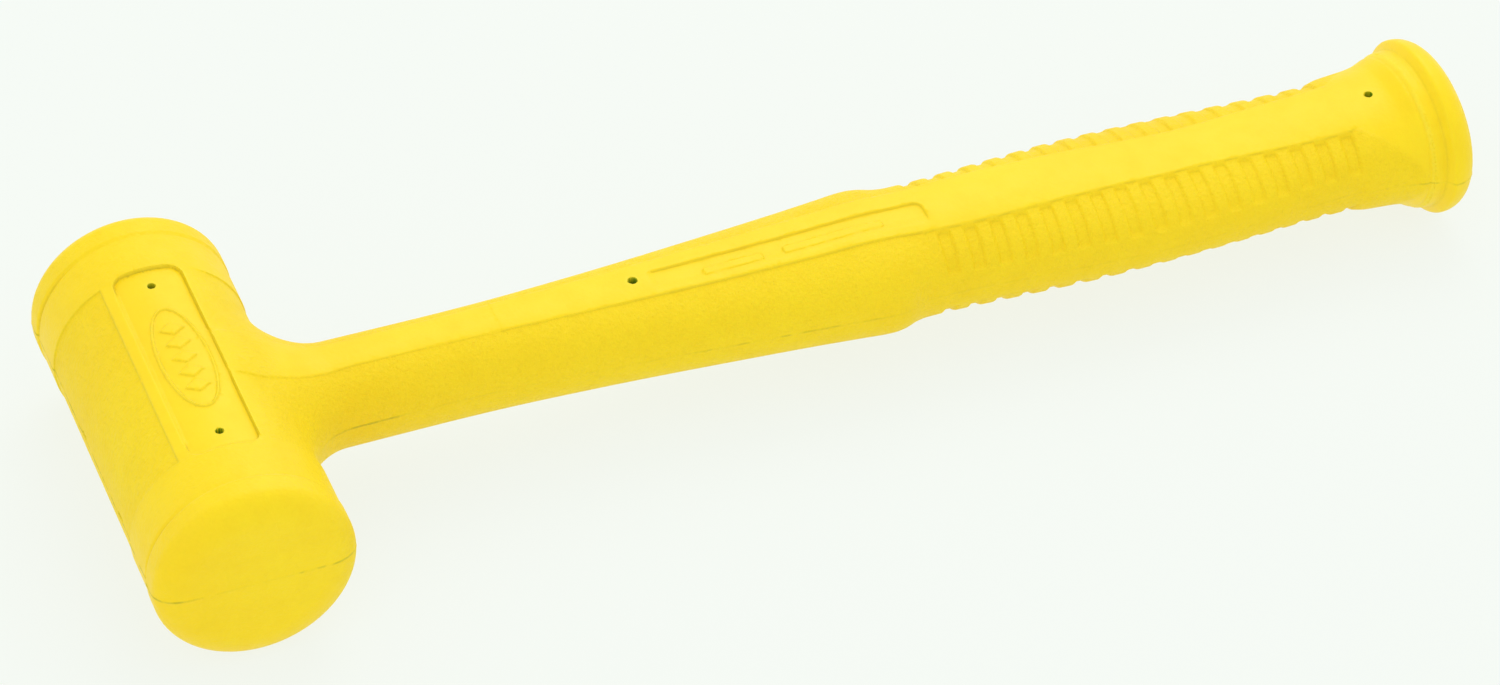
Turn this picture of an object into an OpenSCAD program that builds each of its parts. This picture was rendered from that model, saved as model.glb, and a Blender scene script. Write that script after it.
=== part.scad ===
// One-piece dead blow mallet: a cast urethane jacket over a welded steel
// canister of loose shot and a steel handle rod.
// The mallet lies on its side. +X runs from the head to the butt, +Y along the
// head from one striking face to the other, and +Z up through the parting plane.
// The origin is under the middle of the overall length, level with the lowest
// point of the head. All sizes are in millimetres.

/* [Head] */
// Diameter of the striking faces' rims
rim_d = 51; // [50:0.5:54]
// Length of the head, from face to face
head_len = 114; // [112:1:120]
// Width of the raised rim band at each end of the head
rim_band = 10; // [8:0.5:12]
// How far the barrel between the rim bands stands below them
barrel_step = 0.3; // [0.2:0.1:0.8]
// How far in from the rim each striking face begins to roll over
face_edge_w = 8.5; // [6:0.5:10]
// How far along the head that roll reaches
face_edge_len = 5.5; // [4:0.5:7]

/* [Badge pad] */
// Length of the sunk pad on each side of the head
pad_len = 68; // [60:1:72]
// Width of the sunk pad
pad_w = 17.5; // [15:0.5:18]
// Depth of the pad below the barrel
pad_depth = 1; // [0.6:0.1:1.4]
// Length of the plain oval ring raised on the pad
oval_len = 37; // [30:1:38]
// Width of the oval ring
oval_w = 13; // [11:0.5:14]

/* [Handle] */
// Distance from the head's axis to the end of the butt
reach = 343; // [341:0.5:347]
// Height by which the smooth land stands above the textured sides
land_step = 0.6; // [0.4:0.1:0.8]
// Number of grip grooves on each flank
grooves = 17; // [12:1:18]
// Depth of the grip grooves
groove_depth = 0.9; // [0.5:0.1:1.2]

/* [Steel insert] */
// Outside diameter of the shot canister
canister_d = 38; // [36:0.5:39]
// Overall length of the canister over its end discs
canister_len = 90; // [88:1:92]
// Wall thickness of the canister tube
canister_wall = 2; // [1.5:0.1:2.2]
// Thickness of the two end discs
disc_t = 3; // [2.5:0.25:3.5]
// Diameter of the handle rod
rod_d = 11; // [9:0.5:12]
// Diameter of the locating-pin holes
pin_hole_d = 2.4; // [2:0.1:3]

/* [Shot] */
// Diameter of one steel ball
ball_d = 6; // [6:0.1:6.2]
// Length of the levelled bed of shot
bed_len = 65; // [60:0.5:65]

/* [Hidden] */
$fn = 96;

rim_r = rim_d / 2;
half_len = head_len / 2;
barrel_r = rim_r - barrel_step;
// The textured middle of the barrel, a little lower again
mid_r = barrel_r - 0.2;
mid_half = 33;

canister_r = canister_d / 2;
canister_half = canister_len / 2;
shot_room_r = canister_r - canister_wall;
tube_half = canister_half - disc_t;
bead_w = 3;
bead_h = 0.8;
filler_r = 4.5;
plug_bead_r = 6.5;
plug_bead_h = 1.2;
rod_r = rod_d / 2;
rod_end_x = reach - 12.5;
rod_chamfer = 1;
rod_weld_leg = 5;
// Turned grooves near the end of the rod, which key it into the jacket
key_grooves = 4;
key_pitch = 8;
key_depth = 0.8;

pin_head_y = 28;
neck_pin_x = 116;
butt_pin_x = 321.5;

// Stretches of the handle, measured from the head's axis
neck_x = 62;
shoulder_x = 180;
grip_x = 189;
swell_x = 258;
flare_x = 315;
lip_x = 331.5;
root_x = 8;

// Half-widths across the handle (Y) and half-thicknesses (Z)
neck_w = 13.1;
shoulder_w = 21.6;
grip_w = 18.6;
swell_w = 22.2;
waist_w = 19.2;
butt_w = 25;
neck_t = 12.8;
shoulder_t = 14.4;
swell_t = 12.3;
waist_t = 13.8;
butt_t = 21.8;
// How far the flare ends inside the butt's rim
lip = 1.9;

// Fillets of the neck into the head, seen from above and from the side
fillet_w = 14;
fillet_t = 13;
fillet_t_x = sqrt(pow(mid_r + fillet_t, 2) - pow(neck_t + fillet_t, 2));
// Where the side fillet leaves the barrel, and how deep the root sinks inside it
fillet_start_x = fillet_t_x * mid_r / (mid_r + fillet_t);
root_sink = 1.2;

// Exponent of the handle's squarish oval section, and of the plain oval butt
grip_squareness = 2.3;
butt_squareness = 2;
flank_steps = 6;

// First grip groove, the length of the row and the width of a groove
groove_first_x = 196.5;
groove_row = 113.5;
groove_pitch = groove_row / (grooves - 1);
groove_w = 3.4;
groove_wall = 0.8;

// Radius of the pad's floor, and a height well inside the jacket below it
pad_floor_r = barrel_r - pad_depth;
badge_z = canister_r + 1.5;
oval_line = 1;
oval_h = 0.4;

function smooth(t) = let (c = max(0, min(1, t))) c * c * (3 - 2 * c);
function mix(a, b, t) = a + (b - a) * t;
function between(x, x0, x1) = (x - x0) / (x1 - x0);
// Extra half-size inside a concave fillet of radius r that ends at x1
function fillet(x, x1, r) = x >= x1 ? 0 : r - sqrt(max(0, r * r - pow(min(r, x1 - x), 2)));

function half_width(x) =
    x < neck_x ? neck_w + fillet(x, mid_r + fillet_w, fillet_w) :
    x < shoulder_x ? mix(neck_w, shoulder_w, pow(between(x, neck_x, shoulder_x), 1.4)) :
    x < grip_x ? mix(shoulder_w, grip_w, smooth(between(x, shoulder_x, grip_x))) :
    x < swell_x ? mix(grip_w, swell_w, smooth(between(x, grip_x, swell_x))) :
    x < flare_x ? mix(swell_w, waist_w, smooth(between(x, swell_x, flare_x))) :
    mix(waist_w, butt_w - lip, smooth(between(x, flare_x, lip_x)));

function half_thick(x) =
    x < fillet_start_x ? sqrt(mid_r * mid_r - x * x) - root_sink :
    x < neck_x ? neck_t + fillet(x, fillet_t_x, fillet_t) :
    x < shoulder_x ? mix(neck_t, shoulder_t, smooth(between(x, neck_x, shoulder_x))) :
    x < swell_x ? mix(shoulder_t, swell_t, smooth(between(x, shoulder_x, swell_x))) :
    x < flare_x ? mix(swell_t, waist_t, smooth(between(x, swell_x, flare_x))) :
    mix(waist_t, butt_t - lip, pow(min(1, between(x, flare_x, lip_x)), 2));

function squareness(x) =
    mix(grip_squareness, butt_squareness, smooth(between(x, flare_x, lip_x)));

function land_half(x) = mix(5, 8, smooth(between(x, neck_x, shoulder_x)));
// The land runs out level with the butt where the flare begins
function land_height(x) = land_step * (1 - smooth(between(x, flare_x - 3, flare_x + 3)));

// A quarter of the handle's section, from the parting plane up over the flank
// and then across the land to the crest. cut is how far the grooved part of
// the flank is cut back.
function quarter(x, cut) =
    let (w = half_width(x), t = half_thick(x), land = land_half(x), n = squareness(x),
         land_a = acos(pow(land / w, n / 2)),
         edge_z = t * pow(sin(land_a), 2 / n))
    concat(
        [for (i = [0:flank_steps])
            let (a = land_a * i / flank_steps,
                 keep = (i > 1) ? cut : 0)
            [w * pow(cos(a), 2 / n) - keep * cos(a), t * pow(sin(a), 2 / n) - keep * sin(a)]],
        [[land - 0.2, edge_z + land_height(x) + 0.05], [0, t + land_height(x) * 0.5 + 0.1]]);

// A whole ring of the section at x, counter-clockwise seen from the butt
function ring(x, cut) =
    let (q = quarter(x, cut), n = len(q))
    concat(
        [for (i = [0:n - 1]) [x, q[i][0], q[i][1]]],
        [for (i = [1:n - 1]) [x, -q[n - 1 - i][0], q[n - 1 - i][1]]],
        [for (i = [1:n - 1]) [x, -q[i][0], -q[i][1]]],
        [for (i = [1:n - 2]) [x, q[n - 1 - i][0], -q[n - 1 - i][1]]]);

function plain_stations(x0, x1, steps) =
    [for (i = [0:steps - 1]) [mix(x0, x1, i / steps), 0]];

groove_stations = [for (i = [0:grooves - 1], k = [0:3])
    let (x = groove_first_x + i * groove_pitch,
         edge = (k < 2 ? -1 : 1) * (groove_w / 2 - (k % 3 == 0 ? 0 : groove_wall)))
    [x + edge, k % 3 == 0 ? 0 : groove_depth]];

stations = concat(
    plain_stations(root_x, neck_x, 14),
    plain_stations(neck_x, shoulder_x, 7),
    plain_stations(shoulder_x, groove_first_x - groove_w, 5),
    groove_stations,
    plain_stations(groove_first_x + groove_row + groove_w, flare_x, 2),
    plain_stations(flare_x, lip_x, 7),
    [[lip_x, 0], [lip_x + 1.5, 0]]);

// Closed skin through a list of equal rings
module skin(rings) {
    n = len(rings[0]);
    last = len(rings) - 1;
    polyhedron(
        points = [for (r = rings) each r],
        faces = concat(
            [[for (i = [0:n - 1]) i]],
            [[for (i = [n - 1:-1:0]) last * n + i]],
            [for (s = [0:last - 1], i = [0:n - 1])
                [s * n + i, (s + 1) * n + i, (s + 1) * n + (i + 1) % n]],
            [for (s = [0:last - 1], i = [0:n - 1])
                [s * n + i, (s + 1) * n + (i + 1) % n, s * n + (i + 1) % n]]));
}

// The butt beyond the flare: a plain band, a shallow groove, a full rim and a
// domed end. Each step is [distance past the flare's end, inset from the rim].
band_steps = [[-2, 3], [0, 1.1], [2.8, 0.9], [3.5, 1.5], [4.4, 0.4], [5.2, 0]];
dome_x = lip_x + 5.2;
dome_len = reach - dome_x;
dome_steps = 7;
// The flat middle of the end, as a share of the rim's size
dome_flat = 0.72;
butt_sides = 48;
function butt_ring(x, inset, share) =
    [for (i = [0:butt_sides - 1])
        let (a = 360 * i / butt_sides)
        [x, (butt_w - inset) * share * cos(a), (butt_t - inset) * share * sin(a)]];
butt_rings = concat(
    [for (s = band_steps) butt_ring(lip_x + s[0], s[1], 1)],
    [for (i = [1:dome_steps])
        let (t = sin(90 * i / dome_steps))
        butt_ring(dome_x + dome_len * t, 0, mix(dome_flat, 1, sqrt(max(0, 1 - t * t))))]);

// Turns a cylinder so that it runs along +Y or along +X from the given start
module along_y(y0, y1, r) {
    translate([0, y0, 0]) rotate([-90, 0, 0]) cylinder(r = r, h = y1 - y0);
}
module along_x(x0, x1, r) {
    translate([x0, 0, 0]) rotate([0, 90, 0]) cylinder(r = r, h = x1 - x0);
}

module both_sides() {
    children();
    mirror([0, 0, 1]) children();
}

module head_barrel() {
    corner = 8;
    rotate([-90, 0, 0]) rotate_extrude($fn = 160) polygon(concat(
        [[0, -half_len]],
        [for (i = [0:corner])
            let (a = 90 * i / corner)
            [rim_r - face_edge_w * (1 - sin(a)), -half_len + face_edge_len * (1 - cos(a))]],
        [[rim_r, -half_len + rim_band], [barrel_r, -half_len + rim_band + barrel_step],
         [barrel_r, -mid_half], [mid_r, -mid_half + 0.5],
         [mid_r, mid_half - 0.5], [barrel_r, mid_half],
         [barrel_r, half_len - rim_band - barrel_step], [rim_r, half_len - rim_band]],
        [for (i = [corner:-1:0])
            let (a = 90 * i / corner)
            [rim_r - face_edge_w * (1 - sin(a)), half_len - face_edge_len * (1 - cos(a))]],
        [[0, half_len]]));
}

module rounded_plate(w, l, r) {
    square([w - 2 * r, l], center = true);
    square([w, l - 2 * r], center = true);
    for (x = [-1, 1], y = [-1, 1])
        translate([x * (w / 2 - r), y * (l / 2 - r)]) circle(r = r, $fn = 24);
}

// The sunk pad: everything above its curved floor, over the pad's outline
module pad_cut() {
    difference() {
        translate([0, 0, badge_z]) linear_extrude(rim_r - badge_z + 1)
            rounded_plate(pad_w, pad_len, 3);
        along_y(-half_len, half_len, pad_floor_r);
    }
}

function oval(l, w) = [for (i = [0:39]) let (a = 9 * i) [w / 2 * cos(a), l / 2 * sin(a)]];
module oval_ring() {
    intersection() {
        translate([0, 0, badge_z]) linear_extrude(rim_r - badge_z) difference() {
            polygon(oval(oval_len, oval_w));
            polygon(oval(oval_len - 2 * oval_line, oval_w - 2 * oval_line));
        }
        along_y(-half_len, half_len, pad_floor_r + oval_h);
    }
}

module disc(y0, y1) {
    along_y(y0, y1, canister_r);
}

// Weld bead round the canister, centred on the seam between tube and disc
module seam_bead(y) {
    difference() {
        translate([0, y, 0]) rotate([-90, 0, 0]) rotate_extrude()
            polygon([[canister_r - 1, -bead_w / 2], [canister_r, -bead_w / 2],
                     [canister_r + bead_h, -bead_w / 4], [canister_r + bead_h, bead_w / 4],
                     [canister_r, bead_w / 2], [canister_r - 1, bead_w / 2]]);
        disc(y - bead_w, y + bead_w);
    }
}

module plug_bead() {
    difference() {
        translate([0, canister_half, 0]) rotate([-90, 0, 0])
            cylinder(r1 = plug_bead_r, r2 = plug_bead_r - 1, h = plug_bead_h);
        along_y(canister_half - 1, canister_half + plug_bead_h + 1, filler_r);
    }
}

module rod_turning() {
    difference() {
        along_x(0, rod_end_x, rod_r);
        for (i = [1:key_grooves])
            translate([rod_end_x - i * key_pitch, 0, 0]) rotate([0, 90, 0])
                rotate_extrude() translate([rod_r - key_depth, -1.5]) square([5, 3]);
        translate([rod_end_x - rod_chamfer, 0, 0]) rotate([0, 90, 0]) rotate_extrude()
            polygon([[rod_r, 0], [rod_r + 1, 0], [rod_r + 1, rod_chamfer + 1],
                     [rod_r - rod_chamfer - 1, rod_chamfer + 1]]);
    }
}

module jacket_skin() {
    difference() {
        union() {
            head_barrel();
            skin([for (s = stations) ring(s[0], s[1])]);
            skin(butt_rings);
        }
        both_sides() pad_cut();
    }
    both_sides() oval_ring();
}

module pin_holes() {
    for (y = [-1, 1])
        translate([0, y * pin_head_y, -rim_r - 1])
            cylinder(d = pin_hole_d, h = 2 * rim_r + 2, $fn = 32);
    for (x = [neck_pin_x, butt_pin_x])
        translate([x, 0, -rim_r - 1]) cylinder(d = pin_hole_d, h = 2 * rim_r + 2, $fn = 32);
}

module insert_space() {
    disc(-canister_half, canister_half);
    seam_bead(-tube_half);
    seam_bead(tube_half);
    plug_bead();
    along_y(canister_half - 1, canister_half + plug_bead_h, filler_r);
    rod_turning();
    rod_bead();
}

module rod_bead() {
    difference() {
        translate([canister_r - 3, 0, 0]) rotate([0, 90, 0])
            cylinder(r1 = rod_r + rod_weld_leg + 1, r2 = rod_r, h = rod_weld_leg + 4);
        disc(-canister_half, canister_half);
        along_x(0, reach, rod_r);
    }
}

// Places the head's axis over the origin's frame
module in_place() {
    translate([(rim_r - reach) / 2, 0, rim_r]) children();
}

module jacket() {
    color([0.98, 0.84, 0.13]) in_place() difference() {
        jacket_skin();
        insert_space();
        pin_holes();
    }
}

module canister_tube() {
    color([0.55, 0.56, 0.58]) in_place() difference() {
        along_y(-tube_half, tube_half, canister_r);
        along_y(-tube_half - 1, tube_half + 1, shot_room_r);
    }
}

module canister_base() {
    color([0.6, 0.61, 0.63]) in_place() disc(-canister_half, -tube_half);
}

module canister_lid() {
    color([0.6, 0.61, 0.63]) in_place() difference() {
        disc(tube_half, canister_half);
        along_y(tube_half - 1, canister_half + 1, filler_r);
    }
}

module base_weld() {
    color([0.42, 0.41, 0.42]) in_place() seam_bead(-tube_half);
}

module lid_weld() {
    color([0.42, 0.41, 0.42]) in_place() seam_bead(tube_half);
}

module filler_plug() {
    color([0.66, 0.67, 0.69]) in_place()
        along_y(tube_half, canister_half + plug_bead_h, filler_r);
}

module plug_weld() {
    color([0.42, 0.41, 0.42]) in_place() plug_bead();
}

// Loose balls, levelled in rows along the canister
module steel_shot() {
    pitch = ball_d + 0.1;
    row_h = pitch * sqrt(3) / 2;
    room = shot_room_r - ball_d / 2 - 0.3;
    rows = 5;
    along = floor(bed_len / pitch);
    color([0.35, 0.36, 0.38]) in_place()
        for (row = [0:rows - 1], i = [-3:3], j = [0:along - 1]) {
            z = -room + 0.4 + row * row_h;
            x = (i + (row % 2 == 0 ? 0.5 : 0)) * pitch;
            if (x * x + z * z <= room * room)
                translate([x, (j - (along - 1) / 2) * pitch, z]) sphere(d = ball_d, $fn = 24);
        }
}

module handle_rod() {
    color([0.5, 0.51, 0.53]) in_place() difference() {
        rod_turning();
        disc(-canister_half, canister_half);
    }
}

module rod_weld() {
    color([0.42, 0.41, 0.42]) in_place() rod_bead();
}

jacket();
canister_tube();
canister_base();
canister_lid();
base_weld();
lid_weld();
filler_plug();
plug_weld();
steel_shot();
handle_rod();
rod_weld();
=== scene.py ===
import math

import bpy
import numpy as np
from mathutils import Matrix, Vector


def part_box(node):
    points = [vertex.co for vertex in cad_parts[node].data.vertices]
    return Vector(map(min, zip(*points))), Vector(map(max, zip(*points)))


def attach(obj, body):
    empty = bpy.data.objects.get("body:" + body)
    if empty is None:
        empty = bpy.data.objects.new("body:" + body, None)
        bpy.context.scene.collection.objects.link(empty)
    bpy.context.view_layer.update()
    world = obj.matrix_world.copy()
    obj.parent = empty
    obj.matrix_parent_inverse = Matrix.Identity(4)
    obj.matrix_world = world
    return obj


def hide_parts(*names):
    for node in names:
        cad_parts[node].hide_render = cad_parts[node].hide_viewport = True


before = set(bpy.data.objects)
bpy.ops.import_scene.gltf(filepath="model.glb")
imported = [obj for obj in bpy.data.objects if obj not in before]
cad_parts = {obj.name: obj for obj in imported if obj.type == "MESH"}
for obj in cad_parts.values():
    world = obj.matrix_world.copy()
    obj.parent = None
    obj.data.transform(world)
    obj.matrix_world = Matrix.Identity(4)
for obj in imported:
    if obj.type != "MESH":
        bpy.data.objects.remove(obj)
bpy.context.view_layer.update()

MM = 0.001

# ---------------------------------------------------------------- the frame
# The jacket is shaped in millimetres in the head's own axes: x runs from the
# head's axis to the butt, y along the head, and z up from the parting plane.
JACKET_LOW, JACKET_HIGH = (Vector(corner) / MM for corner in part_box("jacket"))
RIM_R = (JACKET_HIGH.z - JACKET_LOW.z) / 2
HALF_LEN = (JACKET_HIGH.y - JACKET_LOW.y) / 2
REACH = JACKET_HIGH.x - JACKET_LOW.x - RIM_R
AXIS = Vector((JACKET_LOW.x + RIM_R, 0.0, RIM_R))

# ---------------------------------------------------------------- camera
CAMERA_AZIMUTH = -22.62
CAMERA_ELEVATION = 41.78
CAMERA_ROLL = 1.38
CAMERA_DISTANCE = 1.2997
CAMERA_LENS = 124.37
SENSOR_WIDTH = 36.0
CAMERA_AIM = (AXIS + Vector((140.66, -18.16, 0.0))) * MM


def add_camera():
    """A long lens aimed at the middle of the mallet, with the camera rolled a little."""
    azimuth, elevation, roll = map(
        math.radians, (CAMERA_AZIMUTH, CAMERA_ELEVATION, CAMERA_ROLL))
    back = Vector((math.sin(azimuth) * math.cos(elevation),
                   -math.cos(azimuth) * math.cos(elevation),
                   math.sin(elevation)))
    right = Vector((0, 0, 1)).cross(back).normalized()
    up = back.cross(right)
    across = right * math.cos(roll) + up * math.sin(roll)
    upward = up * math.cos(roll) - right * math.sin(roll)
    data = bpy.data.cameras.new("camera")
    data.sensor_width = SENSOR_WIDTH
    data.lens = CAMERA_LENS
    data.clip_start = 0.05
    data.clip_end = 50.0
    camera = bpy.data.objects.new("camera", data)
    bpy.context.scene.collection.objects.link(camera)
    turn = Matrix((across, upward, back)).transposed().to_4x4()
    camera.matrix_world = Matrix.Translation(CAMERA_AIM + back * CAMERA_DISTANCE) @ turn
    bpy.context.scene.camera = camera


add_camera()

# ---------------------------------------------------------------- dimensions
# Head: the rolled edge of a face, the rim band, the barrel and its textured middle
EDGE_W = 8.5
EDGE_LEN = 5.5
BAND_Y = HALF_LEN - 10.0
BAND_STEP_W = 1.0
RIM_LINE_Y = BAND_Y - 0.6
RIM_LINE_W = 0.5
BARREL_R = RIM_R - 0.3
MID_R = BARREL_R - 0.4
MID_Y = 33.0
MID_STEP_W = 0.4
LAND_LEFT_X = -11.8
NECK_FILLET = 13.5

# The sunk pad on the head, with a plain oval ring and a row of lozenges on it
PAD_HALF = (8.75, 34.0)
PAD_CORNER = 3.0
PAD_DEPTH = 1.0
PAD_DRAFT = 0.3
PAD_SOFT_DRAFT = 1.6
OVAL_HALF = (6.2, 18.5)
OVAL_LINE = 0.6
BADGE_HEIGHT = 0.5
LOZENGES = 5
LOZENGE_PITCH = 5.4
LOZENGE_HALF = (3.2, 2.2)
LOZENGE_SLOPE = 1.8

# Handle: (distance from the head's axis, half size), joined by a smooth curve
HALF_WIDTHS = (
    (30, 13.2), (62, 13.0), (80, 13.4), (100, 14.7), (140, 18.1), (160, 19.8), (172, 20.9),
    (180.5, 21.75), (183.5, 21.2), (187.5, 19.5), (191, 18.9), (198, 19.0), (210, 19.7),
    (240, 21.9), (257, 22.4), (272, 22.0), (300, 20.0), (312, 19.4), (320, 20.3), (326, 21.7),
    (331, 22.8), (335, 22.9),
)
HALF_THICKNESSES = (
    (30, 12.8), (62, 12.8), (140, 13.2), (160, 13.8), (178, 14.5), (190, 14.2), (220, 14.1),
    (240, 13.5), (257, 12.5), (270, 12.2), (285, 12.4), (312, 13.6), (320, 14.5), (326, 16.1),
    (331, 19.4), (335, 19.5),
)
LAND_HALF_WIDTHS = (
    (8, 7.9), (16, 8.6), (24, 7.1), (31, 5.7), (38, 4.9), (52, 4.8), (78, 5.2), (115, 6.3),
    (148, 7.4), (176, 8.1), (190, 8.4), (207, 9.1), (227, 8.8), (248, 8.1), (269, 7.7), (290, 8.7),
    (303, 9.3), (312, 9.5), (330, 9.6),
)
HANDLE_START_X = 6.0
SQUARENESS = (2.3, 2.0)
# How far the smooth land stands above the flanks
LAND_STEPS = ((8, 0.55), (30, 0.55), (100, 0.45), (122, 0.62), (196, 0.62), (205, 0.6))
LAND_END_X = 312.5
LAND_START_X = 9.0
TRANSVERSE_X = 79.5
TRANSVERSE_STEP = 0.15

# The shallow pocket where such tools carry a size mark, open on the side of the near flank
LEGEND = {"x": (119.5, 194.5), "y": (-9.4, 1.8), "corner": 2.2, "depth": 0.72}
MARK_BARS = ((134.0, 150.0), (155.5, 182.5))
MARK_Y = -2.9
MARK_HALF = 1.3
MARK_HEIGHT = 0.55

# Grip grooves, beside the land and down each flank
GROOVES = 17
GROOVE_PITCH = 7.09
GROOVE_FIRST_X = 196.5
GROOVE_HALF_W = 1.7
GROOVE_DEPTH = 0.75
GROOVE_SOFT = 1.0
GROOVE_LOW_Z = 5.5
GROOVE_END_W = 1.1
GROOVE_GAP = 0.6

# Butt
FLARE_X = 315.0
LIP_X = 331.0
LIP_OVERLAP = 0.3
LIP_LINE_X = LIP_X - 1.0
LIP_LINE_DEPTH = 0.35
LIP_LINE_W = 0.5
BUTT_HALF = (25.6, 22.0)
BUTT_EDGE_R = 6.2
BUTT_CROWN = 0.1
# How far in from the rim: the flare's end, a plain band, a shallow groove, the rim's side
BUTT_INSETS = ((331, 2.6), (332.6, 2.4), (333.9, 2.5), (334.8, 1.6), (335.7, 0.3), (336.6, 0))

# Flash on the parting plane, and the two torn scars of the gates at the back of the head
FLASH_HALF_W = 0.42
GATE_MIDDLE_Y = -8.5
GATE_SPREAD = 15.5
GATE_HALF = (1.6, 0.65)
GATE_DEPTH = 0.8

# (x, y, radius) of the holes left by the mould's locating pins
PIN_HOLES = ((0.0, 28.0, 1.0), (0.0, -28.0, 1.0), (116.0, 0.0, 1.2), (321.5, 0.0, 1.1))

# The steel insert that the jacket is cast round: canister, weld beads, plug and rod
CANISTER_R = 19.0
CANISTER_HALF = 45.0
BEAD_Y = 42.0
BEAD_HALF_W = 1.5
BEAD_HEIGHT = 0.8
BEAD_SLOPE = 1.07
PLUG_R = 6.0
PLUG_HEIGHT = 1.2
ROD_R = 5.5
ROD_END_X = REACH - 12.5
ROD_WELD_X = (10.0, 25.0)
ROD_WELD_SLOPE = 0.67


# ---------------------------------------------------------------- shape maths
def smooth(t):
    t = np.clip(t, 0.0, 1.0)
    return t * t * (3.0 - 2.0 * t)


def mix(a, b, t):
    return a + (b - a) * t


def ramp(value, start, end):
    """0 up to the start, 1 from the end on, and smooth between them."""
    return smooth((value - start) / (end - start))


def within(distance, edge=0.5):
    """1 inside a region, 0 outside it, changing over a soft edge."""
    return smooth(0.5 - distance / edge)


def line_at(distance, width):
    """1 on a fine line, fading away from it on both sides."""
    return np.exp(-((distance / width) ** 2))


def curve(x, points):
    """A smooth curve through given points, flat beyond its ends."""
    px = np.array([p[0] for p in points], float)
    py = np.array([p[1] for p in points], float)
    slope = np.gradient(py, px)
    chord = np.diff(py) / np.diff(px)
    turns = np.concatenate([[True], chord[1:] * chord[:-1] <= 0, [True]])
    slope[turns] = 0.0
    x = np.clip(x, px[0], px[-1])
    i = np.clip(np.searchsorted(px, x, side="right") - 1, 0, len(px) - 2)
    step = px[i + 1] - px[i]
    t = (x - px[i]) / step
    rise = t * t * (3.0 - 2.0 * t)
    return (py[i] + (py[i + 1] - py[i]) * rise
            + step * slope[i] * t * (1 - t) ** 2 - step * slope[i + 1] * t * t * (1 - t))


def round_corner(a, b, r):
    """The meeting of two inside distances, with the corner rounded by r."""
    u, v = a + r, b + r
    return np.hypot(np.maximum(u, 0), np.maximum(v, 0)) + np.minimum(np.maximum(u, v), 0) - r


def filleted(a, b, r):
    """The union of two shapes, with a fillet of radius r in the corner."""
    u, v = np.maximum(r - a, 0), np.maximum(r - b, 0)
    return np.maximum(r, np.minimum(a, b)) - np.hypot(u, v)


def box_distance(u, v, half_u, half_v, corner):
    """Distance from a rounded rectangle round the origin."""
    return round_corner(np.abs(u) - half_u, np.abs(v) - half_v, corner)


def oval_distance(x, y):
    """Distance from the badge's oval, a close estimate near its line."""
    a, b = OVAL_HALF
    k = np.hypot(x / a, y / b)
    return k * (k - 1.0) / np.maximum(np.hypot(x / a**2, y / b**2), 1e-4)


def badge(x, y):
    """Height of the plain oval ring and the row of lozenges on the pad."""
    ring = within(np.abs(oval_distance(x, y)) - OVAL_LINE / 2, 0.45)
    row = np.clip(np.round(y / LOZENGE_PITCH), -(LOZENGES // 2), LOZENGES // 2)
    half_x, half_y = LOZENGE_HALF
    lozenge = np.abs(x) / half_x + np.abs(y - row * LOZENGE_PITCH) / half_y - 1.0
    return BADGE_HEIGHT * np.maximum(ring, within(lozenge * LOZENGE_SLOPE))


def head_radius(x, y):
    """The head's outer radius, with its bands and land, the rim's line, pad and badge."""
    ay = np.abs(y)
    band = within(MID_Y - ay, MID_STEP_W)
    land = within(LAND_LEFT_X - x, MID_STEP_W) * (1.0 - ramp(x, 8.0, 18.0))
    r = MID_R + (BARREL_R - MID_R) * np.maximum(band, land)
    r = r + (RIM_R - BARREL_R) * within(BAND_Y - ay, BAND_STEP_W)
    deeper_at_back = 0.1 + 0.4 * ramp(-x, 12.0, 21.0)
    r = r - deeper_at_back * line_at(ay - RIM_LINE_Y, RIM_LINE_W)
    return r - pad_depth(x, y) + badge(x, y)


def pad_depth(x, y):
    """The sunk pad. Its left and near walls slope more gently than the others."""
    left_wall = within(x + 6.0, 2.0) * within(np.abs(y) - 29.0, 4.0)
    near_wall = within(y + 31.0, 2.0) * within(x - 7.0, 2.0)
    draft = mix(PAD_DRAFT, PAD_SOFT_DRAFT, np.maximum(left_wall, near_wall))
    return PAD_DEPTH * within(box_distance(x, y, *PAD_HALF, PAD_CORNER), draft)


def head_distance(x, y, z):
    """The head as a round bar with elliptically rolled edges."""
    out = np.hypot(x, z) - head_radius(x, y)
    along = np.abs(y) - HALF_LEN
    u = np.maximum(out + EDGE_W, 0) / EDGE_W
    v = np.maximum(along + EDGE_LEN, 0) / EDGE_LEN
    roll = np.hypot(u, v)
    steepness = np.hypot(u / EDGE_W, v / EDGE_LEN) / np.maximum(roll, 1e-3)
    in_corner = (roll - 1.0) / np.maximum(steepness, 1.0 / EDGE_W)
    return np.where((u > 0) & (v > 0), in_corner, np.maximum(out, along))


def oval_side(y, z, half_w, half_t, n):
    """Distance from a squarish oval, measured along the line to its middle."""
    g = ((np.abs(y) / half_w) ** n + (z / half_t) ** n) ** (1.0 / n)
    g = np.maximum(g, 1e-3)
    return np.hypot(y, z) * (1.0 - 1.0 / g)


def grip_groove(x, y, z):
    """1 on the floors of the grip grooves, 0 elsewhere."""
    i = np.clip(np.round((x - GROOVE_FIRST_X) / GROOVE_PITCH), 0, GROOVES - 1)
    across = np.abs(x - GROOVE_FIRST_X - i * GROOVE_PITCH) - GROOVE_HALF_W
    beside_land = curve(x, LAND_HALF_WIDTHS) + GROOVE_GAP - np.abs(y)
    above_end = within(GROOVE_LOW_Z - z, GROOVE_END_W)
    return within(across, GROOVE_SOFT) * above_end * within(beside_land, 1.0)


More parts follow.
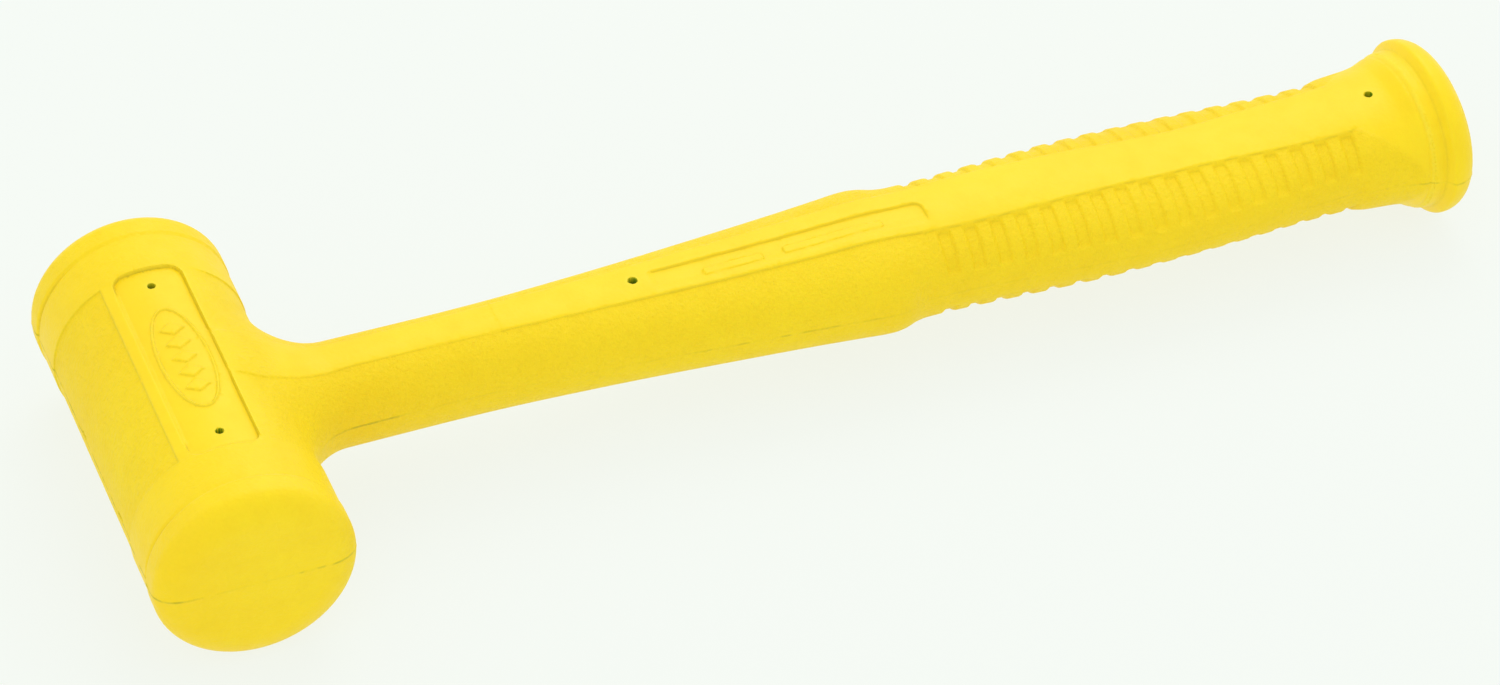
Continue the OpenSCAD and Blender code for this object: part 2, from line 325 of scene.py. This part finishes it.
def land_height(x, y, z):
    """How far the smooth land on the handle stands above the flanks."""
    edge = np.abs(y) - curve(x, LAND_HALF_WIDTHS)
    strip = within(edge) * ramp(x, LAND_START_X, LAND_START_X + 2.5) * (z > 2.0)
    butt = ramp(x, LAND_END_X - 2.0, LAND_END_X + 2.5)
    height = curve(x, LAND_STEPS) * np.maximum(strip, butt)
    height = height * (1.0 - ramp(x, LAND_END_X + 3.0, LAND_END_X + 15.0))
    height = height - TRANSVERSE_STEP * strip * within(x - TRANSVERSE_X)
    return height + strip * legend_height(x, y)


def legend_height(x, y):
    """The pocket, fading out at its head end and towards the near flank, and its two bars."""
    x0, x1 = LEGEND["x"]
    y0, y1 = LEGEND["y"]
    pocket = box_distance(x - (x0 + x1) / 2, y - (y0 + y1) / 2,
                          (x1 - x0) / 2, (y1 - y0) / 2, LEGEND["corner"])
    pocket = within(pocket) * ramp(x, x0, x0 + 3.0) * ramp(y, -6.5, -2.5)
    bars = np.zeros_like(x)
    for start, end in MARK_BARS:
        bar = box_distance(x - (start + end) / 2, y - MARK_Y, (end - start) / 2, MARK_HALF, 0.8)
        bars = np.maximum(bars, MARK_HEIGHT * within(bar))
    return pocket * (bars - LEGEND["depth"])


def handle_distance(x, y, z):
    """The neck, grip and flare, with a fine line just before the butt's rim."""
    n = mix(*SQUARENESS, ramp(x, FLARE_X, LIP_X))
    side = oval_side(y, z, curve(x, HALF_WIDTHS), curve(x, HALF_THICKNESSES), n)
    side = side + LIP_LINE_DEPTH * line_at(x - LIP_LINE_X, LIP_LINE_W)
    return np.maximum(side, np.maximum(x - LIP_X - LIP_OVERLAP, HANDLE_START_X - x))


def butt_distance(x, y, z):
    """The rim beyond the flare: a plain band, a shallow groove and a full roll."""
    inset = curve(x, BUTT_INSETS)
    side = oval_side(y, z, BUTT_HALF[0] - inset, BUTT_HALF[1] - inset, 2.0)
    crown = BUTT_CROWN * ((y / BUTT_HALF[0]) ** 2 + (z / BUTT_HALF[1]) ** 2)
    body = round_corner(side, x - REACH + crown, BUTT_EDGE_R)
    return np.maximum(body, LIP_X - x)


def flash_ridge(x, y, z):
    """The uneven flash left along the parting plane."""
    wander = (np.sin(0.9 * x + 0.4 * y) + np.sin(0.37 * x - 0.83 * y + 1.3)
              + np.sin(2.3 * x + 1.9 * y + 0.7))
    height = 0.05 + 0.13 * flash_strength(x, y, z) + 0.03 * wander
    return height * line_at(z, FLASH_HALF_W)


def gate_scars(x, y, z):
    """Two short torn scars on the parting line, at the back of the head."""
    half_len, half_height = GATE_HALF
    along = np.abs(np.abs(y - GATE_MIDDLE_Y) - GATE_SPREAD) - half_len
    return GATE_DEPTH * within(np.maximum(along, z - half_height), 0.6) * (x < 0)


def insert_distance(x, y, z):
    """The outside of the steel insert, which shapes the jacket's own inside."""
    out = np.hypot(x, z) - CANISTER_R
    ay = np.abs(y)
    canister = np.maximum(out, ay - CANISTER_HALF)
    from_bead = np.abs(ay - BEAD_Y)
    bead = np.maximum(out - BEAD_HEIGHT, from_bead - BEAD_HALF_W)
    bead = np.maximum(bead, out - 2 * BEAD_HEIGHT + from_bead * BEAD_SLOPE)
    plug_end = y - CANISTER_HALF - PLUG_HEIGHT
    plug = np.maximum(out + CANISTER_R - PLUG_R, np.maximum(plug_end, -y))
    across = np.hypot(y, z) - ROD_R
    rod = np.maximum(across, np.maximum(x - ROD_END_X, -x))
    weld_start, weld_end = ROD_WELD_X
    weld = np.maximum(across - (weld_end - x) * ROD_WELD_SLOPE,
                      np.maximum(x - weld_end, weld_start - x))
    return np.minimum.reduce([canister, bead, plug, rod, weld])


def skin_distance(x, y, z):
    """Signed distance from the jacket's outer skin, for z of 0 or more."""
    skin = filleted(head_distance(x, y, z), handle_distance(x, y, z), NECK_FILLET)
    skin = skin - land_height(x, y, z) + GROOVE_DEPTH * grip_groove(x, y, z)
    skin = np.minimum(skin, butt_distance(x, y, z))
    return skin - flash_ridge(x, y, z) + gate_scars(x, y, z)


def jacket_distance(x, y, z):
    """Signed distance from the whole jacket: outside above 0, in the urethane below."""
    z = np.abs(z)
    solid = np.maximum(skin_distance(x, y, z), -insert_distance(x, y, z))
    for hole_x, hole_y, hole_r in PIN_HOLES:
        solid = np.maximum(solid, hole_r - np.hypot(x - hole_x, y - hole_y))
    return solid


def gradient(field, points, step):
    """The field's slope at each point, by central differences."""
    g = np.empty_like(points)
    for axis in range(3):
        offset = np.zeros(3)
        offset[axis] = step
        ahead = field(*(points + offset).T)
        behind = field(*(points - offset).T)
        g[:, axis] = (ahead - behind) / (2 * step)
    return g


# ---------------------------------------------------------------- meshing
BLOCK = 8
MESH_STEP = 0.34
MARGIN = 2.0
SETTLE_ROUNDS = 2
# The jacket is thinned to this many triangles
FACE_BUDGET = 320000
SEED = 7
ROUGHNESS = 0.012


def sample(field, low, high, step):
    """The field on a grid, mirrored in z. Far from the surface only its sign is kept."""
    counts = [int(math.ceil((high[a] - low[a]) / step / BLOCK)) for a in (0, 1)]
    counts.append(int(math.ceil(high[2] / step / BLOCK)))
    start = np.array([low[0], low[1], 0.5 * step])
    centres = np.stack(np.meshgrid(*[np.arange(n) for n in counts], indexing="ij"), -1)
    flat = centres.reshape(-1, 3)
    middles = start + (flat * BLOCK + (BLOCK - 1) / 2) * step
    middle_values = field(*middles.T)
    values = np.sign(middle_values).reshape(counts).astype(np.float32)
    for axis in range(3):
        values = np.repeat(values, BLOCK, axis)
    near = flat[np.abs(middle_values) < BLOCK * step * 1.1 + 2.0]
    local = np.stack(np.meshgrid(*[np.arange(BLOCK)] * 3, indexing="ij"), -1).reshape(-1, 3)
    for part in np.array_split(near, max(1, len(near) // 1500)):
        index = (part[:, None, :] * BLOCK + local[None]).reshape(-1, 3)
        points = start + index * step
        values[tuple(index.T)] = field(*points.T)
    whole = np.concatenate([values[:, :, ::-1], values], axis=2)
    start[2] = -(values.shape[2] - 0.5) * step
    return whole, start


def surface_net(values, start, step):
    """One vertex in every grid cell that the surface crosses, joined by quads."""
    inside = values < 0
    n = np.array(values.shape) - 1
    count = np.zeros(n, np.int8)
    corners = [(i, j, k) for i in (0, 1) for j in (0, 1) for k in (0, 1)]
    for i, j, k in corners:
        count += inside[i:n[0] + i, j:n[1] + j, k:n[2] + k]
    cells = np.argwhere((count > 0) & (count < 8))
    ids = np.full(n, -1, np.int32)
    ids[tuple(cells.T)] = np.arange(len(cells))
    total = np.zeros((len(cells), 3))
    crossings = np.zeros(len(cells))
    for a in corners:
        for axis in range(3):
            if a[axis]:
                continue
            b = tuple(1 if i == axis else a[i] for i in range(3))
            va = values[tuple((cells + a).T)]
            vb = values[tuple((cells + b).T)]
            hit = (va < 0) != (vb < 0)
            t = va[hit] / (va[hit] - vb[hit])
            point = np.tile(np.array(a, float), (hit.sum(), 1))
            point[:, axis] += t
            total[hit] += point
            crossings[hit] += 1
    points = start + (cells + total / crossings[:, None]) * step

    quads = []
    for axis in range(3):
        u, v = [i for i in range(3) if i != axis]
        here = [slice(1, -1)] * 3
        here[axis] = slice(0, -1)
        ahead = list(here)
        ahead[axis] = slice(1, None)
        first, second = inside[tuple(here)], inside[tuple(ahead)]
        for grows in (True, False):
            edge = np.argwhere(first & ~second if grows else ~first & second)
            for i in range(3):
                if i != axis:
                    edge[:, i] += 1
            ring = []
            for du, dv in ((-1, -1), (0, -1), (0, 0), (-1, 0)):
                cell = edge.copy()
                cell[:, u] += du
                cell[:, v] += dv
                ring.append(ids[tuple(cell.T)])
            quad = np.stack(ring, 1)
            if grows == (axis == 1):
                quad = quad[:, ::-1]
            quads.append(quad)
    return points, np.concatenate(quads)


def settle(field, points, step, rounds):
    """Moves points onto the surface, never far from where they were."""
    for _ in range(rounds):
        g = gradient(field, points, 0.06)
        move = field(*points.T)[:, None] * g / np.maximum((g * g).sum(1), 0.25)[:, None]
        points = points - np.clip(move, -step / 2, step / 2)
    return points


def to_frame(points):
    """From millimetres in the head's axes to metres in the CAD frame."""
    return (points + np.array(AXIS)) * MM


def mesh_object(name, points, faces):
    """An object of plain polygons, from arrays of points and faces."""
    mesh = bpy.data.meshes.new(name)
    mesh.from_pydata(points.tolist(), [], faces.tolist())
    mesh.update()
    piece = bpy.data.objects.new(name, mesh)
    bpy.context.scene.collection.objects.link(piece)
    return piece


def roughen(points):
    """Tiny random shifts on the outer skin, so that thinning leaves it even triangles."""
    x, y, z = points.T
    outer = (np.abs(skin_distance(x, y, np.abs(z))) < 0.2)[:, None]
    shift = np.random.default_rng(SEED).normal(0.0, ROUGHNESS, points.shape)
    return points + outer * shift


def thin_out(piece, ratio):
    """Merges faces where the surface is plain, and keeps them where it turns."""
    decimate = piece.modifiers.new("thin_out", "DECIMATE")
    decimate.ratio = ratio
    graph = bpy.context.evaluated_depsgraph_get()
    thinned = bpy.data.meshes.new_from_object(piece.evaluated_get(graph))
    piece.modifiers.clear()
    old, piece.data = piece.data, thinned
    bpy.data.meshes.remove(old)
    thinned.name = piece.name


def add_attribute(mesh, name, values):
    layer = mesh.attributes.new(name, "FLOAT", "POINT")
    layer.data.foreach_set("value", np.asarray(values, np.float32))


def build_jacket():
    """The whole jacket as one closed mesh, with a space for the steel insert in it."""
    step = MESH_STEP
    low = (-RIM_R - MARGIN, -HALF_LEN - MARGIN, 0.0)
    high = (REACH + MARGIN, HALF_LEN + MARGIN, RIM_R + MARGIN)
    values, start = sample(jacket_distance, low, high, step)
    points, quads = surface_net(values, start, step)
    points = settle(jacket_distance, points, step, SETTLE_ROUNDS)
    piece = mesh_object("urethane_jacket", to_frame(roughen(points)), quads)
    triangles = len(quads) * 2
    if triangles > FACE_BUDGET:
        thin_out(piece, FACE_BUDGET / triangles)
    refine(piece, step)
    return piece


def local_points(mesh):
    """The mesh's vertices, in millimetres in the head's axes."""
    points = np.empty(len(mesh.vertices) * 3)
    mesh.vertices.foreach_get("co", points)
    return points.reshape(-1, 3) / MM - np.array(AXIS)


def refine(piece, step):
    """Puts every vertex back on the surface and shades it with the surface's own slope."""
    mesh = piece.data
    points = settle(jacket_distance, local_points(mesh), step, SETTLE_ROUNDS)
    mesh.vertices.foreach_set("co", to_frame(points).ravel())
    slope = gradient(jacket_distance, points, 0.12)
    slope /= np.maximum(np.linalg.norm(slope, axis=1), 1e-6)[:, None]
    mesh.shade_smooth()
    mesh.normals_split_custom_set_from_vertices(slope.tolist())
    mesh.update()


# How far from the skin the room in front of it and the jacket behind it are probed
PROBE = 0.9
SMOOTH_GRAIN = 0.08


def describe_surface(piece):
    """Writes on each vertex how sheltered, exposed, grainy or ragged its place is."""
    mesh = piece.data
    points = local_points(mesh)
    slope = gradient(jacket_distance, points, 0.1)
    size = np.maximum(np.linalg.norm(slope, axis=1), 1e-3)
    normal = slope / size[:, None]
    ahead = jacket_distance(*(points + normal * PROBE).T) / (PROBE * size)
    behind = -jacket_distance(*(points - normal * PROBE).T) / (PROBE * size)
    # How sheltered each place is; it sets the painted shade in corners, creases and grooves.
    crevice = np.clip(1.0 - ahead, 0.0, 1.0) * (1.0 - 0.85 * open_end(*points.T))
    add_attribute(mesh, "crevice", crevice)
    add_attribute(mesh, "hole", hole_depth(*points.T))
    add_attribute(mesh, "wear", np.clip(1.0 - behind, 0.0, 1.0))
    add_attribute(mesh, "grain", grain(*points.T[:2]))
    add_attribute(mesh, "flash", flash_strength(*points.T))


def hole_depth(x, y, z):
    """1 down the walls of the pin holes, 0 elsewhere."""
    near = np.min([np.hypot(x - hx, y - hy) - hr for hx, hy, hr in PIN_HOLES], axis=0)
    return within(near - 0.3, 0.3) * smooth(skin_distance(x, y, np.abs(z)) / -0.3)


def open_end(x, y, z):
    """1 round the lower ends of the grip grooves, where the painted crevice shade is mostly left
    off.
    """
    beside = within(GROOVE_FIRST_X - 4.0 - x) * within(x - LAND_END_X)
    return beside * within(np.abs(z) - GROOVE_LOW_Z - 1.5, 2.0)


def flash_strength(x, y, z):
    """Where the flash at the parting plane is left ragged: it stands higher there, and the painted
    shadow line along the seam is darker.

    That is on both faces, by the neck, up to the shoulder, on the butt and at the back.
    """
    on_face = ramp(np.abs(y), HALF_LEN - 3.0, HALF_LEN - 1.0) * (np.abs(x + 2.0) > 12.0)
    neck = ramp(x, 30.0, 34.0) * (1.0 - ramp(x, 46.0, 54.0))
    butt = ramp(x, 324.0, 329.0)
    back = ramp(-x, 20.0, 23.0)
    shoulder = ramp(x, 118.0, 133.0) * (1.0 - ramp(x, 174.0, 180.0))
    places = [0.7 * on_face, 0.7 * neck, 0.35 * shoulder, 0.4 * butt, 0.8 * back]
    return 0.1 + 0.9 * np.max(places, axis=0)


def grain(x, y):
    """1 on the spark-textured flanks, near 0 on the lands, the pad and the butt."""
    ay = np.abs(y)
    flank = within(curve(x, LAND_HALF_WIDTHS) - ay, 0.8)
    butt = smooth((x - LAND_END_X - 1.2 * (ay - 9.5)) / 2.0)
    handle = flank * (1.0 - 0.85 * butt)
    left = within(x - LAND_LEFT_X, 0.8)
    right = ramp(x, LAND_START_X, 17.0)
    middle = within(ay - MID_Y, 0.8)
    head = 0.35 + 0.65 * middle * np.maximum(left, right)
    on_land = (ay < MID_Y) & (x > LAND_LEFT_X) & (x < LAND_START_X)
    head = np.where(on_land, SMOOTH_GRAIN, head)
    return np.clip(mix(head, handle, ramp(x, 16.0, 26.0)), SMOOTH_GRAIN, 1.0)


# ---------------------------------------------------------------- materials
class Shader:
    """A material's node tree, with short calls to add and join nodes."""

    def __init__(self, name):
        self.material = bpy.data.materials.new(name)
        self.material.use_nodes = True
        self.tree = self.material.node_tree
        self.surface = self.tree.nodes["Principled BSDF"]

    def add(self, kind, inputs=(), **settings):
        """A node with its input sockets joined or set, and its own settings."""
        node = self.tree.nodes.new("ShaderNode" + kind)
        for key, value in settings.items():
            setattr(node, key, value)
        for key, value in dict(inputs).items():
            self.join(node, key, value)
        return node

    def join(self, node, key, value):
        """Links an output to an input socket, or sets the socket to a constant."""
        if isinstance(value, bpy.types.Node):
            value = value.outputs[0]
        if isinstance(value, bpy.types.NodeSocket):
            self.tree.links.new(value, node.inputs[key])
        else:
            node.inputs[key].default_value = value

    def set(self, **inputs):
        """Joins or sets sockets of the Principled shader."""
        for key, value in inputs.items():
            self.join(self.surface, key.replace("_", " "), value)

    def math(self, operation, a, b=0.0, clamp=False):
        return self.add("Math", {0: a, 1: b}, operation=operation, use_clamp=clamp)

    def colour_mix(self, amount, a, b, blend="MIX"):
        node = self.add("Mix", data_type="RGBA", blend_type=blend)
        self.join(node, 0, amount)
        self.join(node, 6, a)
        self.join(node, 7, b)
        return node.outputs[2]

    def noise(self, scale, detail=2.0, roughness=0.5, stretch=(1, 1, 1)):
        place = self.add("TexCoord").outputs["Object"]
        scaled = self.add("VectorMath", {0: place, 1: stretch}, operation="MULTIPLY")
        return self.add("TexNoise", {
            "Vector": scaled, "Scale": scale, "Detail": detail, "Roughness": roughness,
        }).outputs["Fac"]

    def attribute(self, name):
        return self.add("Attribute", attribute_name=name).outputs["Fac"]

    def height_from_parting(self):
        place = self.add("SeparateXYZ", {0: self.add("TexCoord").outputs["Object"]}).outputs["Z"]
        return self.math("ABSOLUTE", self.math("SUBTRACT", place, AXIS.z * MM))

    def span(self, value, low, high, out_low, out_high):
        return self.add("MapRange", {
            0: value, 1: low, 2: high, 3: out_low, 4: out_high,
        }, clamp=True).outputs[0]

    def bump(self, height, distance, strength=1.0, below=None):
        node = self.add("Bump", {"Height": height, "Distance": distance, "Strength": strength})
        if below is not None:
            self.join(node, "Normal", below)
        return node.outputs[0]


def linear(r, g, b):
    """A colour given as 0 to 255 values on screen."""
    values = [v / 255.0 for v in (r, g, b)]
    return tuple(((v + 0.055) / 1.055) ** 2.4 if v > 0.04 else v / 12.92 for v in values) + (1.0,)


BRIGHT_YELLOW = linear(254, 221, 8)
WARM_YELLOW = linear(252, 215, 4)
PATCH_YELLOW = linear(245, 208, 4)
GRAIN_YELLOW = linear(236, 204, 6)
RUBBED_YELLOW = linear(255, 232, 60)
# Painted shade for corners, creases and grooves
CREVICE_SHADE = linear(164, 156, 6)
# Painted shadow line along the parting plane
SEAM_SHADE = linear(150, 148, 6)
# Green painted shade for the pin holes
HOLE_SHADE_GREEN = linear(6, 140, 14)
STAIN = linear(112, 92, 74)


def urethane():
    """Cast yellow urethane: spark-textured flanks, smoother lands, painted shade in the corners, a
    painted shadow line along the seam and green painted shade in the pin holes.
    """
    s = Shader("urethane")
    grainy = s.attribute("grain")
    crevice = s.attribute("crevice")
    wear = s.attribute("wear")
    broad = s.noise(22.0, 3.0)
    patches = s.noise(160.0, 3.0, 0.6)
    fine = s.noise(980.0, 4.0, 0.6)
    colour = s.colour_mix(s.span(broad, 0.3, 0.7, 0.0, 1.0), BRIGHT_YELLOW, WARM_YELLOW)
    colour = s.colour_mix(s.span(patches, 0.45, 0.75, 0.0, 0.35), colour, PATCH_YELLOW)
    grain_shade = s.math("MULTIPLY", s.span(fine, 0.5, 0.68, 0.0, 0.28), grainy)
    colour = s.colour_mix(grain_shade, colour, GRAIN_YELLOW)
    uneven = s.span(patches, 0.2, 0.6, 0.25, 0.45)
    # Painted shade: darker where the surface is sheltered, in place of the shade in corners,
    # creases and grooves.
    painted_crevice_shade = s.math("MULTIPLY", s.span(crevice, 0.15, 0.8, 0.0, 1.0), uneven)
    colour = s.colour_mix(painted_crevice_shade, colour, CREVICE_SHADE)
    # Painted shade: the pin holes' walls are coloured dark green for the shade inside them.
    colour = s.colour_mix(s.attribute("hole"), colour, HOLE_SHADE_GREEN)
    # A painted shadow line along the parting plane, in place of the seam's own shadow, darker
    # where the flash is ragged.
    seam_shade = s.span(s.height_from_parting(), 0.15 * MM, 0.45 * MM, 1.0, 0.0)
    seam_shade = s.math("MULTIPLY", seam_shade, s.span(s.noise(260.0, 4.0), 0.4, 0.62, 0.05, 0.7))
    seam_shade = s.math("MULTIPLY", seam_shade, s.attribute("flash"))
    colour = s.colour_mix(seam_shade, colour, SEAM_SHADE)
    worn = s.span(patches, 0.35, 0.6, 0.2, 1.0)
    rubbed = s.math("MULTIPLY", s.span(wear, 0.2, 0.8, 0.0, 0.45), worn)
    colour = s.colour_mix(rubbed, colour, RUBBED_YELLOW)
    rough = s.span(patches, 0.3, 0.7, 0.36, 0.46)
    rough = s.math("ADD", rough, s.math("MULTIPLY", grainy, 0.14))
    height = s.math("MULTIPLY", fine, s.span(grainy, 0.0, 1.0, 0.12, 1.0))
    orange_peel = s.bump(s.noise(240.0, 2.0), 0.12 * MM, 0.5)
    s.set(Base_Color=colour, Roughness=rough, Normal=s.bump(height, 0.5 * MM, 1.0, orange_peel))
    s.set(IOR=1.5, Specular_IOR_Level=0.31)
    s.set(Subsurface_Weight=0.12, Subsurface_Radius=(1.0, 0.7, 0.12), Subsurface_Scale=2.0 * MM)
    return s.material


def steel(name, light, dark, rough, streak, stretch, heat=None):
    """Plain steel: drawn or ground streaks, faint stains, and heat colours by a weld."""
    s = Shader(name)
    streaks = s.noise(streak, 3.0, 0.6, stretch)
    stains = s.noise(90.0, 4.0, 0.6)
    colour = s.colour_mix(s.span(streaks, 0.35, 0.65, 0.0, 1.0), linear(*light), linear(*dark))
    colour = s.colour_mix(s.span(stains, 0.5, 0.8, 0.0, 0.5), colour, STAIN)
    if heat:
        tint = s.span(s.noise(300.0, 2.0), 0.4, 0.62, 0.0, 0.8)
        colour = s.colour_mix(tint, colour, linear(*heat))
    s.set(Base_Color=colour, Metallic=1.0)
    s.set(Roughness=s.span(s.noise(400.0, 2.0), 0.3, 0.7, rough - 0.08, rough + 0.1))
    s.set(Normal=s.bump(streaks, 0.08 * MM, 0.6))
    return s.material


def paint(node, material):
    """Gives every material slot of a CAD node the same material."""
    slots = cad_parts[node].data.materials
    if len(slots) == 0:
        slots.append(material)
    for index in range(len(slots)):
        slots[index] = material


def finish_steel():
    """Drawn canister, bright rod, heat-tinted welds and dull shot."""
    drawn = steel("canister_steel", (176, 178, 180), (140, 142, 146), 0.38, 500.0, (8.0, 0.6, 8.0))
    bright = steel("rod_steel", (186, 186, 184), (150, 150, 150), 0.34, 600.0, (0.5, 8.0, 8.0))
    welds = steel("weld_metal", (158, 150, 142), (120, 112, 106), 0.42, 900.0, (1, 1, 1),
                  heat=(96, 84, 120))
    balls = steel("shot_steel", (150, 150, 152), (112, 112, 116), 0.4, 700.0, (1, 1, 1))
    for node in ("canister_tube", "canister_base", "canister_lid", "filler_plug"):
        paint(node, drawn)
    for node in ("base_weld", "lid_weld", "plug_weld", "rod_weld"):
        paint(node, welds)
    paint("handle_rod", bright)
    paint("steel_shot", balls)


# ---------------------------------------------------------------- stage
FLOOR_GLOW = 0.805
FLOOR_HALF = 6.0
STUDIO_WHITE = (0.97, 1.0, 0.965, 1.0)
STUDIO_STRENGTH = 0.965
BUTT_DROP = RIM_R - BUTT_HALF[1]
BUTT_REST_X = REACH - BUTT_EDGE_R - BUTT_CROWN


def add_floor():
    """The mallet rests on its head and its butt, so the floor leans a little in this frame."""
    slope = BUTT_DROP / BUTT_REST_X
    origin = AXIS.x * MM
    points = []
    for side_x, side_y in ((-1, -1), (1, -1), (1, 1), (-1, 1)):
        x = side_x * FLOOR_HALF
        points.append((x, side_y * FLOOR_HALF, (x - origin) * slope))
    floor = mesh_object("floor", np.array(points), np.array([[0, 1, 2, 3]]))
    s = Shader("pale_floor")
    tone = s.noise(3.0, 3.0)
    colour = s.colour_mix(tone, (0.125, 0.13, 0.127, 1.0), (0.135, 0.14, 0.137, 1.0))
    s.set(Base_Color=colour, Roughness=0.9, Specular_IOR_Level=0.1)
    s.set(Emission_Color=(0.96, 1.0, 0.955, 1.0), Emission_Strength=FLOOR_GLOW)
    floor.data.materials.append(s.material)


def add_light(name, place, size, power, tint):
    """A round soft lamp that points at the camera's own aim."""
    data = bpy.data.lights.new(name, "AREA")
    data.shape = "DISK"
    data.size = size
    data.energy = power
    data.color = tint
    light = bpy.data.objects.new(name, data)
    light.location = place
    light.rotation_mode = "QUATERNION"
    light.rotation_quaternion = (CAMERA_AIM - light.location).to_track_quat("-Z", "Y")
    bpy.context.scene.collection.objects.link(light)


def add_studio():
    """An even white surround, a soft key light behind the handle and a weak fill."""
    world = bpy.data.worlds.new("studio")
    world.use_nodes = True
    background = world.node_tree.nodes["Background"]
    background.inputs["Color"].default_value = STUDIO_WHITE
    background.inputs["Strength"].default_value = STUDIO_STRENGTH
    bpy.context.scene.world = world
    add_light("key", Vector((0.45, 0.75, 1.1)), 1.0, 4.2, (1.0, 0.99, 0.97))
    add_light("fill", Vector((-1.3, -0.7, 0.6)), 0.9, 0.7, (1.0, 1.0, 1.0))
    bpy.context.scene.view_settings.view_transform = "Standard"


# ---------------------------------------------------------------- assembly
jacket = build_jacket()
describe_surface(jacket)
jacket.data.materials.clear()
jacket.data.materials.append(urethane())
jacket.data.shade_smooth()
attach(jacket, "mallet")
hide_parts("jacket")

finish_steel()
add_floor()
add_studio()
